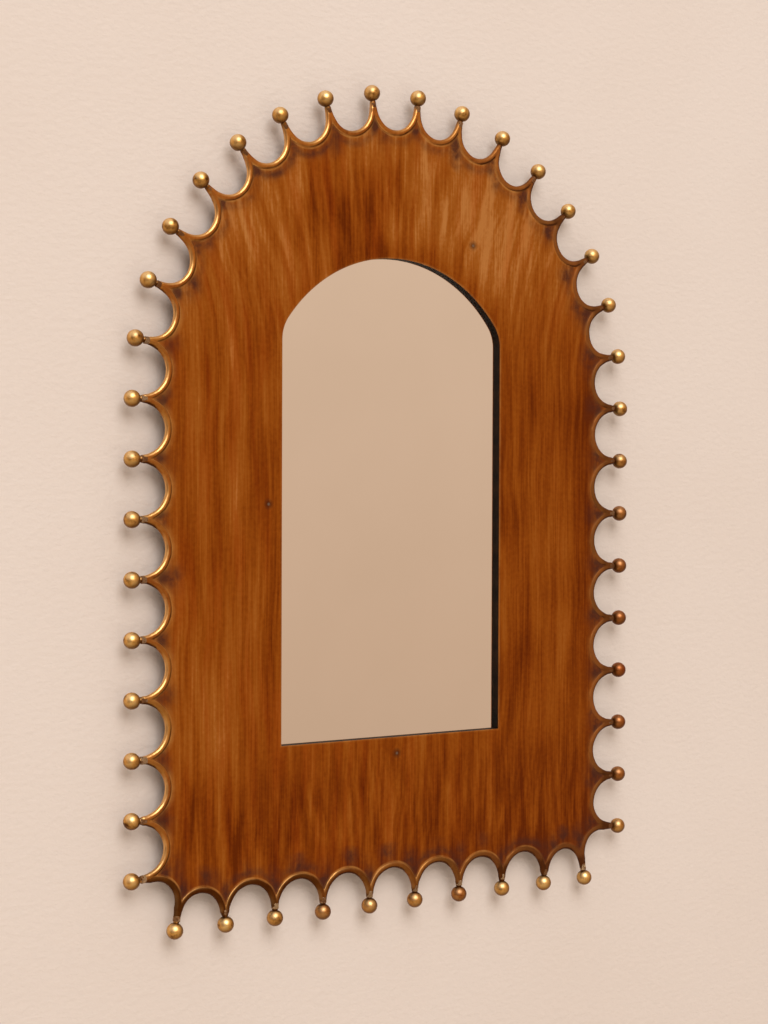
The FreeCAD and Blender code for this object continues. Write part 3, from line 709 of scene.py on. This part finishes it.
BRASS_PAINTED_HIGHLIGHT = "#F0BC7A"
BRASS_RUBBED = "#D09448"
BRASS = "#B47030"
BRASS_AGED = "#8A4C1C"
BRASS_BROWN = "#401A00"
BRASS_LINE = "#D8A058"
BRASS_LACQUERED = "#9A5A28"
brass, tree, shader, place = new_finish("lacquered_brass_rod", Specular_IOR_Level=0.12)
cloud = add_node(tree, "TexNoise",
                 {"Vector": place, "Scale": 22, "Detail": 3, "Roughness": 0.55})
speck = add_node(tree, "TexNoise",
                 {"Vector": place, "Scale": 300, "Detail": 2, "Roughness": 0.6})
aged = add_node(tree, "Math", {0: speck.outputs["Fac"], 1: 0.25,
                               2: cloud.outputs["Fac"]}, operation="MULTIPLY_ADD")
colour = add_node(tree, "ValToRGB", {"Fac": aged.outputs[0]},
                  stops=((0.42, BRASS_AGED), (0.85, BRASS_RUBBED), (0.60, BRASS)))
shaded_side = add_node(tree, "VectorMath",
                       {0: add_node(tree, "NewGeometry").outputs["Normal"],
                        1: SHADED_DIRECTION}, operation="DOT_PRODUCT")
axes = add_node(tree, "SeparateXYZ", {"Vector": place})
right_side = add_node(tree, "MapRange", {"Value": axes.outputs["X"],
                                         "From Min": 0.00, "From Max": 0.20})
left_side = add_node(tree, "MapRange", {"Value": axes.outputs["X"],
                                        "From Min": 0.15, "From Max": -0.15})
# Painted highlight: on the left, flanks that face the soft box are lightened towards pale gold.
painted_highlight = add_node(tree, "MapRange",
                  {"Value": shaded_side.outputs["Value"], "From Min": -0.15, "From Max": -0.70,
                   "To Max": left_side.outputs[0]})
painted_highlight = add_node(tree, "Math", {0: painted_highlight.outputs[0], 1: 0.92}, operation="MULTIPLY")
overrun = add_node(tree, "Math", {0: right_side.outputs[0], 1: 0.75},
                   operation="MULTIPLY")
# Painted shade, with random clouds of dark wax: the brass darkens on flanks turned from the soft
# box, on the foot row's rods, whose undersides face down, and on the upper halves of the scallops
# on the left. It is darker too in the right column and near the necks.
grime_and_shade = add_node(tree, "MapRange", {"Value": shaded_side.outputs["Value"],
                                    "From Min": 0.0, "From Max": 0.36})
low = add_node(tree, "MapRange", {"Value": axes.outputs["Z"], "From Min": -0.05,
                                  "From Max": -0.10})
low = add_node(tree, "Math",
               {0: low.outputs[0],
                1: add_node(tree, "MapRange",
                            {"Value": axes.outputs["X"], "From Min": -0.20, "From Max": 0.22,
                             "To Min": 0.75, "To Max": 0.25}).outputs[0]}, operation="MULTIPLY")
neck_end = add_node(tree, "Attribute", attribute_name="neck_end")
hanging = add_node(tree, "Attribute", attribute_name="hanging")
for part, weight in ((low.outputs[0], 0.85), (neck_end.outputs["Fac"], 0.4),
                     (hanging.outputs["Fac"], 0.24),
                     (right_side.outputs[0], 0.34), (cloud.outputs["Fac"], 0.8)):
    grime_and_shade = add_node(tree, "Math", {0: part, 1: weight, 2: grime_and_shade.outputs[0]},
                     operation="MULTIPLY_ADD")
grime_and_shade = add_node(tree, "MapRange", {"Value": grime_and_shade.outputs[0], "From Min": 0.42,
                                    "From Max": 1.10, "To Max": 0.92})
shoulder = add_node(tree, "Attribute", attribute_name="shoulder")
patchy = add_node(tree, "TexNoise", {"Vector": place, "Scale": 75, "Detail": 2})
patchy = add_node(tree, "MapRange", {"Value": patchy.outputs["Fac"], "From Min": 0.35,
                                     "From Max": 0.60, "To Min": 0.2, "To Max": 0.8})
patchy = add_node(tree, "Math",
                  {0: overrun.outputs[0], 1: -0.8, 2: patchy.outputs[0]},
                  operation="MULTIPLY_ADD", use_clamp=True)
bare = add_node(tree, "Math", {0: shoulder.outputs["Fac"], 1: patchy.outputs[0]},
                operation="MULTIPLY")
grime_and_shade = add_node(tree, "Math",
                 {0: grime_and_shade.outputs[0],
                  1: add_node(tree, "Math", {0: bare.outputs[0], 1: -1.2, 2: 1.0},
                              operation="MULTIPLY_ADD", use_clamp=True).outputs[0]},
                 operation="MULTIPLY")
for amount, code in ((painted_highlight, BRASS_PAINTED_HIGHLIGHT), (overrun, BRASS_LACQUERED), (bare, BRASS_LINE),
                     (grime_and_shade, BRASS_BROWN)):
    colour = add_node(tree, "MixRGB",
                      {"Fac": amount.outputs[0], "Color1": colour.outputs["Color"],
                       "Color2": linear(code)})
give(shader, Base_Color=colour.outputs["Color"])
metal = add_node(tree, "MapRange", {"Value": overrun.outputs[0], "To Min": 0.9,
                                    "To Max": 0.25})
give(shader, Metallic=metal.outputs[0])
dull = add_node(tree, "Math", {0: right_side.outputs[0], 1: 0.5,
                               2: grime_and_shade.outputs[0]}, operation="MULTIPLY_ADD")
dull = add_node(tree, "MapRange", {"Value": dull.outputs[0], "To Min": 0.30,
                                   "To Max": 0.52})
give(shader, Roughness=dull.outputs[0])
bump = add_node(tree, "Bump",
                {"Height": speck.outputs["Fac"], "Strength": 0.25, "Distance": 0.0002})
give(shader, Normal=bump.outputs["Normal"])
finish_with(rim, brass)
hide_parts("rim_rods")
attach(rim, "frame")


# Neck solder: a rough collar of silver solder that holds each ball on its neck, pale where
# it was filed and brown with wax in its pits.
COLLAR_RADIUS = 0.0037
COLLAR_LENGTH = 0.0062
COLLAR_PLACE = 0.0078
SOLDER_PIT = "#5E361A"
SOLDER_BROWN = "#94693F"
SOLDER_FILED = "#B89468"
SOLDER_BRIGHT = "#DCC6A2"
SOLDER_WAXED = "#70441C"

bpy.ops.object.select_all(action="DESELECT")
bpy.ops.mesh.primitive_cylinder_add(vertices=24, radius=COLLAR_RADIUS, depth=COLLAR_LENGTH)
collar = bpy.context.object
bpy.ops.object.mode_set(mode="EDIT")
bpy.ops.mesh.bevel(offset=0.0008, segments=3, affect="EDGES")
bpy.ops.mesh.subdivide(number_cuts=2)
bpy.ops.object.mode_set(mode="OBJECT")
bpy.ops.object.shade_smooth()
lumps = bpy.data.textures.new("lumps", "CLOUDS")
lumps.noise_scale = 0.0018
apply_modifier(collar, "DISPLACE", texture=lumps, texture_coords="LOCAL",
               strength=0.0009, mid_level=0.6)
bpy.ops.object.select_all(action="DESELECT")
for k, (ball, (middle, inward)) in enumerate(neck_lines):
    direction = (middle - ball) / abs(middle - ball)
    spot = ball + direction * (COLLAR_PLACE + chance.uniform(0.0, 0.0012) + COLLAR_LENGTH / 2)
    piece = bpy.data.objects.new("collar_%02d" % k, collar.data.copy())
    bpy.context.collection.objects.link(piece)
    lean = Vector((direction.real, 0, direction.imag)).to_track_quat("Z", "Y").to_matrix()
    at_foot = k >= upper_balls - 1
    filed = at_foot or k < COLUMN_BALLS - 1
    pale = chance.uniform(0.1, 0.6) if filed else chance.uniform(0.0, 0.25)
    pale += 0.4 if at_foot else 0
    piece.data.attributes.new("pale", "FLOAT", "POINT").data.foreach_set(
        "value", [pale] * len(piece.data.vertices))
    size = chance.uniform(0.82, 0.98) if filed else chance.uniform(0.74, 0.86)
    piece.data.transform(Matrix.Translation((spot.real, ROD_PLANE, spot.imag)) @ lean.to_4x4()
                         @ Matrix.Rotation(chance.uniform(0, math.tau), 4, "Z")
                         @ Matrix.Diagonal((size, size, chance.uniform(0.7, 1.15), 1)))
    piece.select_set(True)
    bpy.context.view_layer.objects.active = piece
bpy.ops.object.join()
neck_solder = bpy.context.object
neck_solder.name = "neck_solder"
bpy.data.objects.remove(collar)

solder, tree, shader, place = new_finish("filed_silver_solder", Metallic=0.5)
pit = add_node(tree, "TexNoise",
               {"Vector": place, "Scale": 420, "Detail": 3, "Roughness": 0.7})
area = add_node(tree, "TexNoise", {"Vector": place, "Scale": 26, "Detail": 1})
mix = add_node(tree, "Math", {0: area.outputs["Fac"], 1: 0.8,
                              2: pit.outputs["Fac"]}, operation="MULTIPLY_ADD")
colour = add_node(tree, "ValToRGB", {"Fac": mix.outputs[0]},
                  stops=((0.66, SOLDER_PIT), (1.16, SOLDER_BRIGHT), (0.88, SOLDER_BROWN),
                         (1.02, SOLDER_FILED)))
pale = add_node(tree, "Attribute", attribute_name="pale")
colour = add_node(tree, "MixRGB",
                  {"Fac": pale.outputs["Fac"], "Color1": linear(SOLDER_WAXED),
                   "Color2": colour.outputs["Color"]})
give(shader, Base_Color=colour.outputs["Color"])
dull = add_node(tree, "MapRange", {"Value": pit.outputs["Fac"], "To Min": 0.6,
                                   "To Max": 0.3})
give(shader, Roughness=dull.outputs[0])
bump = add_node(tree, "Bump",
                {"Height": pit.outputs["Fac"], "Strength": 0.6, "Distance": 0.0003})
give(shader, Normal=bump.outputs["Normal"])
finish_with(neck_solder, solder)
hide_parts("ball_pins")
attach(neck_solder, "frame")


# Balls: solid brass, turned and tumbled, with patches of brown wax. A painted highlight lightens
# the side towards the soft box and painted shade darkens the side away from it; each is darker too
# where it meets its neck. No two are quite alike.
BALL_RADIUS = 0.0079
HIGHLIGHT_SIDE = (-0.58, -0.60, 0.55)
labels = ["ball_left_%02d" % (i + 1) for i in range(COLUMN_BALLS)]
labels += ["ball_arch_%02d" % (i + 1) for i in range(ARCH_BALLS)]
labels += ["ball_right_%02d" % (COLUMN_BALLS - i) for i in range(COLUMN_BALLS)]
labels += ["ball_foot_%02d" % (FOOT_BALLS - i) for i in range(FOOT_BALLS)]

bpy.ops.object.select_all(action="DESELECT")
bpy.ops.mesh.primitive_uv_sphere_add(segments=40, ring_count=24, radius=BALL_RADIUS)
first_ball = bpy.context.object
bpy.ops.object.shade_smooth()
dents = bpy.data.textures.new("dents", "CLOUDS")
dents.noise_scale = 0.006
apply_modifier(first_ball, "DISPLACE", texture=dents, texture_coords="LOCAL",
               strength=0.00018, mid_level=0.8)

BALL_GOLD = "#DEA656"
BALL_RUBBED = "#FAD48C"
BALL_PAINTED_HIGHLIGHT = "#FCDCA4"
BALL_WAX_AND_SHADE = "#5A3410"
BALL_COPPER = "#8E4418"
ball_brass, tree, shader, place = new_finish("waxed_brass_ball", Metallic=0.95)
cloud = add_node(tree, "TexNoise",
                 {"Vector": place, "Scale": 90, "Detail": 3, "Roughness": 0.6})
colour = add_node(tree, "ValToRGB", {"Fac": cloud.outputs["Fac"]},
                  stops=((0.30, BALL_WAX_AND_SHADE), (0.72, BALL_RUBBED), (0.46, BALL_GOLD)))
lie = add_node(tree, "VectorMath",
               {0: add_node(tree, "NewGeometry").outputs["Normal"],
                1: HIGHLIGHT_SIDE}, operation="DOT_PRODUCT")
# Painted highlight on the side towards the soft box. Painted shade, in patches with the wax, falls
# on the side away from it, and the ball is darker where it meets its neck.
painted_highlight = add_node(tree, "MapRange", {"Value": lie.outputs["Value"], "From Min": 0.80,
                                     "From Max": 0.97, "To Max": 0.75})
tint = add_node(tree, "Attribute", attribute_name="tint")
shade_and_socket = add_node(tree, "MapRange", {"Value": lie.outputs["Value"],
                                     "From Min": 0.88, "From Max": 0.05})
socket = add_node(tree, "Attribute", attribute_name="socket")
shade_and_socket = add_node(tree, "Math", {0: shade_and_socket.outputs[0], 1: socket.outputs["Fac"]},
                  operation="ADD")
grime_and_shade = add_node(tree, "Math", {0: cloud.outputs["Fac"], 1: shade_and_socket.outputs[0]},
                 operation="MULTIPLY")
grime_and_shade = add_node(tree, "MapRange", {"Value": grime_and_shade.outputs[0], "From Min": 0.05,
                                    "From Max": 0.45, "To Max": 0.8})
for amount, code in ((painted_highlight.outputs[0], BALL_PAINTED_HIGHLIGHT), (tint.outputs["Fac"], BALL_COPPER),
                     (grime_and_shade.outputs[0], BALL_WAX_AND_SHADE)):
    colour = add_node(tree, "MixRGB", {"Fac": amount, "Color1": colour.outputs["Color"],
                                       "Color2": linear(code)})
give(shader, Base_Color=colour.outputs["Color"])
dull = add_node(tree, "MapRange",
                {"Value": cloud.outputs["Fac"], "From Min": 0.3, "From Max": 0.7,
                 "To Min": 0.46, "To Max": 0.34})
give(shader, Roughness=dull.outputs[0])
grit = add_node(tree, "TexNoise", {"Vector": place, "Scale": 700, "Detail": 2})
bump = add_node(tree, "Bump",
                {"Height": grit.outputs["Fac"], "Strength": 0.2, "Distance": 0.0001})
give(shader, Normal=bump.outputs["Normal"])
finish_with(first_ball, ball_brass)

# The balls whose brass has worn to a coppery tone, and how much.
COPPERY = {"ball_right_08": 0.4, "ball_right_07": 0.7, "ball_right_06": 0.8,
           "ball_right_05": 0.85, "ball_right_04": 0.9, "ball_right_03": 0.85,
           "ball_right_02": 0.75, "ball_right_01": 0.35,
           "ball_foot_04": 0.6, "ball_foot_05": 0.4, "ball_foot_06": 0.35,
           "ball_foot_07": 0.65}
for k, (label, spot) in enumerate(zip(labels, ball_places)):
    ball = bpy.data.objects.new(label.replace("ball", "brass_ball"), first_ball.data.copy())
    bpy.context.collection.objects.link(ball)
    turn = Matrix.Rotation(chance.uniform(0, math.tau), 4, "X")
    turn = turn @ Matrix.Rotation(chance.uniform(0, math.tau), 4, "Y")
    ball.data.transform(Matrix.Translation((spot.real, ROD_PLANE, spot.imag)) @ turn)
    inward = necks[k - 1][0] - spot
    neck_side = Vector((inward.real, 0, inward.imag)).normalized()
    tints = [COPPERY.get(label, chance.uniform(0.0, 0.15))] * len(ball.data.vertices)
    sockets = [max(0, (vertex.co - Vector((spot.real, ROD_PLANE, spot.imag))).normalized()
                   .dot(neck_side) - 0.72) * 4 for vertex in ball.data.vertices]
    for name, values in (("tint", tints), ("socket", sockets)):
        ball.data.attributes.new(name, "FLOAT", "POINT").data.foreach_set("value", values)
    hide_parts(label)
    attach(ball, "frame")
bpy.data.objects.remove(first_ball)


# Opening: a strip of thin sheet, bent round and painted black, lines it. Behind the strip
# lies the flat silvered glass, clean but for a faint bloom.
LINER_BACK = -0.0120
LINER_THICKNESS = 0.0009
LINER_BLACK = "#120904"
LINER_BROWN = "#2E1B0C"
SILVER_BLOOM = "#F3F3EF"
SILVER = "#F7F7F4"

bm = bmesh.new()
lines = [[bm.verts.new((place.real, depth, place.imag)) for place in opening_line(grow)]
         for grow, depth in ((0, SHEET_BACK), (0, LINER_BACK), (LINER_THICKNESS, LINER_BACK),
                             (LINER_THICKNESS, SHEET_BACK))]
join_rings(lines + lines[:1])
opening_liner = finished_object("opening_liner")

liner_paint, tree, shader, place = new_finish("black_brown_liner_paint", Roughness=0.55,
                                              Specular_IOR_Level=0.08)
cloud = add_node(tree, "TexNoise", {"Vector": place, "Scale": 60, "Detail": 4})
colour = add_node(tree, "ValToRGB", {"Fac": cloud.outputs["Fac"]},
                  stops=((0.35, LINER_BLACK), (0.75, LINER_BROWN)))
give(shader, Base_Color=colour.outputs["Color"])
bump = add_node(tree, "Bump",
                {"Height": cloud.outputs["Fac"], "Strength": 0.3, "Distance": 0.0003})
give(shader, Normal=bump.outputs["Normal"])
finish_with(opening_liner, liner_paint)
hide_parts("aperture_liner")
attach(opening_liner, "frame")

silvered, tree, shader, place = new_finish("silvered_float_glass", Metallic=1.0)
bloom = add_node(tree, "TexNoise", {"Vector": place, "Scale": 7, "Detail": 4})
colour = add_node(tree, "ValToRGB", {"Fac": bloom.outputs["Fac"]},
                  stops=((0.3, SILVER_BLOOM), (0.7, SILVER)))
give(shader, Base_Color=colour.outputs["Color"])
haze = add_node(tree, "MapRange", {"Value": bloom.outputs["Fac"], "From Min": 0.3,
                                   "From Max": 0.7, "To Min": 0.01, "To Max": 0.03})
give(shader, Roughness=haze.outputs[0])


def refinish(material, *names):
    """Gives CAD nodes a better finish in their own slots."""
    for name in names:
        for slot in nodes[name].material_slots:
            slot.material = material


refinish(silvered, "mirror_glass")


# Backing: a ring of planed softwood, glued to the sheet and rebated for the glass, and a
# thin hardboard sheet that closes it, brown and smooth on its outer side.
RING_SPACING = 0.006
WOOD_LATE = "#B98E5C"
WOOD_EARLY = "#D8B583"
HARDBOARD_DARK = "#5C3A20"
HARDBOARD_PALE = "#8A6038"

softwood, tree, shader, place = new_finish("planed_softwood", Roughness=0.6)
stretched = add_node(tree, "Mapping", {"Vector": place, "Scale": (1, 1, 0.07)})
warp = add_node(tree, "TexNoise",
                {"Vector": stretched.outputs[0], "Scale": 20, "Detail": 3})
grain = add_node(tree, "TexWave",
                 {"Vector": stretched.outputs[0], "Scale": 1 / RING_SPACING / 3.2,
                  "Distortion": 6, "Detail": 2, "Phase Offset": warp.outputs["Fac"]},
                 bands_direction="X")
colour = add_node(tree, "ValToRGB", {"Fac": grain.outputs["Fac"]},
                  stops=((0.1, WOOD_LATE), (0.9, WOOD_EARLY)))
give(shader, Base_Color=colour.outputs["Color"])
bump = add_node(tree, "Bump",
                {"Height": grain.outputs["Fac"], "Strength": 0.2, "Distance": 0.0003})
give(shader, Normal=bump.outputs["Normal"])

hardboard, tree, shader, place = new_finish("pressed_hardboard", Roughness=0.55)
fibre = add_node(tree, "TexNoise",
                 {"Vector": place, "Scale": 300, "Detail": 4, "Roughness": 0.7})
cloud = add_node(tree, "TexNoise", {"Vector": place, "Scale": 8, "Detail": 2})
mix = add_node(tree, "Math", {0: cloud.outputs["Fac"], 1: 0.4,
                              2: fibre.outputs["Fac"]}, operation="MULTIPLY_ADD")
colour = add_node(tree, "ValToRGB", {"Fac": mix.outputs[0]},
                  stops=((0.45, HARDBOARD_DARK), (0.95, HARDBOARD_PALE)))
give(shader, Base_Color=colour.outputs["Color"])
bump = add_node(tree, "Bump",
                {"Height": fibre.outputs["Fac"], "Strength": 0.25, "Distance": 0.0002})
give(shader, Normal=bump.outputs["Normal"])
refinish(softwood, "spacer_frame")
refinish(hardboard, "back_board")


# Fixings: pan-head screws, folded hanger straps and bent wire rings, all of steel with a
# bright zinc plating that has gone slightly cloudy.
ZINC_CLOUDED = "#9C9FA2"
ZINC_BRIGHT = "#C9CBCC"

zinc, tree, shader, place = new_finish("zinc_plated_steel", Metallic=1.0)
cloud = add_node(tree, "TexNoise",
                 {"Vector": place, "Scale": 160, "Detail": 4, "Roughness": 0.6})
colour = add_node(tree, "ValToRGB", {"Fac": cloud.outputs["Fac"]},
                  stops=((0.3, ZINC_CLOUDED), (0.7, ZINC_BRIGHT)))
give(shader, Base_Color=colour.outputs["Color"])
dull = add_node(tree, "MapRange", {"Value": cloud.outputs["Fac"], "To Min": 0.25,
                                   "To Max": 0.5})
give(shader, Roughness=dull.outputs[0])
bump = add_node(tree, "Bump",
                {"Height": cloud.outputs["Fac"], "Strength": 0.15, "Distance": 0.0001})
give(shader, Normal=bump.outputs["Normal"])
refinish(zinc, "board_screws", "hanger_screws", "hanger_strap_left", "hanger_strap_right",
         "hanger_ring_left", "hanger_ring_right")


# Wall pads: two strips of pressed grey felt, glued across the back board. Their cut edges
# are soft and a little fuzzy.
FELT_DARK = "#4E4B48"
FELT_PALE = "#7A7672"
FELT_CUT = 0.0012

felt, tree, shader, place = new_finish("pressed_felt", Roughness=0.95, Sheen_Weight=0.4,
                                       Specular_IOR_Level=0.2)
fibre = add_node(tree, "TexNoise",
                 {"Vector": place, "Scale": 500, "Detail": 4, "Roughness": 0.8,
                  "Distortion": 1.5})
colour = add_node(tree, "ValToRGB", {"Fac": fibre.outputs["Fac"]},
                  stops=((0.35, FELT_DARK), (0.7, FELT_PALE)))
give(shader, Base_Color=colour.outputs["Color"])
bump = add_node(tree, "Bump",
                {"Height": fibre.outputs["Fac"], "Strength": 0.8, "Distance": 0.0006})
give(shader, Normal=bump.outputs["Normal"])
fuzz = bpy.data.textures.new("fuzz", "CLOUDS")
fuzz.noise_scale = 0.003
for name in ("lower", "upper"):
    low, high = (Vector(corner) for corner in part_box("wall_pad_" + name))
    bpy.ops.object.select_all(action="DESELECT")
    bpy.ops.mesh.primitive_cube_add(size=1, location=(low + high) / 2, scale=high - low)
    bpy.ops.object.transform_apply(location=True, rotation=True, scale=True)
    strip = bpy.context.object
    strip.name = "felt_strip_" + name
    apply_modifier(strip, "BEVEL", width=FELT_CUT, segments=3)
    apply_modifier(strip, "REMESH", mode="VOXEL", voxel_size=0.0008, use_smooth_shade=True)
    apply_modifier(strip, "DISPLACE", texture=fuzz, texture_coords="LOCAL",
                   strength=0.0005, mid_level=1.0)
    apply_modifier(strip, "DECIMATE", ratio=0.5)
    finish_with(strip, felt)
    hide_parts("wall_pad_" + name)
    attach(strip, "frame")
